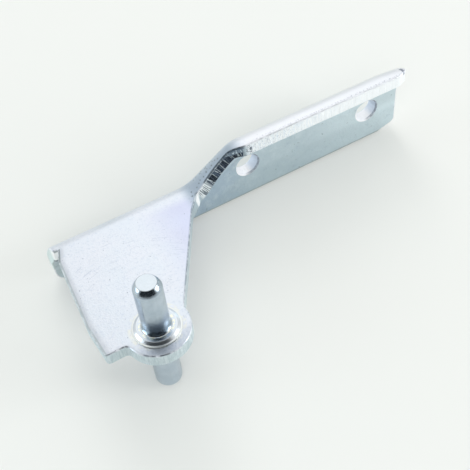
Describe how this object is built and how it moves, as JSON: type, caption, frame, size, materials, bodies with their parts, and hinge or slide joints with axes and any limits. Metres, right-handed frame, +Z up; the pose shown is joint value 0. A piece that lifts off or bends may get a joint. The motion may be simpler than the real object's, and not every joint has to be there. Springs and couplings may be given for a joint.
{
  "type": "fridge door hinge",
  "caption": "Fridge door hinge: a thick folded sheet bracket, stepped over a ramp, with a collared steel pin through its nose and two screw holes in its flange.",
  "frame": {"origin": "midway between the two screw holes, on the mounting face of the flange", "axes": "+X along the fold, from the pin's end to the end with the high lip; +Y into the cabinet, square to the mounting face; +Z up, along the pin"},
  "size_m": [0.1126, 0.0484, 0.0399],
  "materials": {
    "zinc_plated_sheet": "satin",
    "zinc_plated_pin": "satin"
  },
  "bodies": {
    "root": {"bracket": "zinc_plated_sheet", "hinge_pin": "zinc_plated_pin"}
  },
  "joints": []
}
